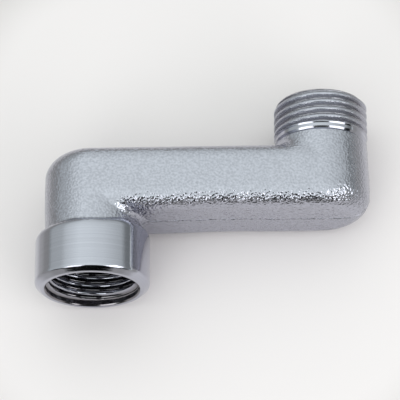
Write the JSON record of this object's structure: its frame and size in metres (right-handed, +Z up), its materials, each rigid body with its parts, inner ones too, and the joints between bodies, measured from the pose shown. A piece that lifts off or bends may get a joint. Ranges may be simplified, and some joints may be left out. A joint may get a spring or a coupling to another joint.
{
  "type": "eccentric pipe fitting",
  "caption": "Chrome-plated brass eccentric fitting: a flat cast arm carries a threaded socket at one end and an offset threaded spigot at the other, with a waterway through it.",
  "frame": {"origin": "centre of the socket's flat rim, on the socket axis", "axes": "+Y from the socket rim to the spigot end, +X from the socket axis towards the spigot axis, +Z up from the floor that the fitting lies on"},
  "size_m": [0.0741, 0.0434, 0.0254],
  "materials": {
    "plated_brass": "satin chrome over the cast grain, bright where it is turned"
  },
  "bodies": {
    "root": {"fitting_body": "plated_brass"}
  },
  "joints": []
}
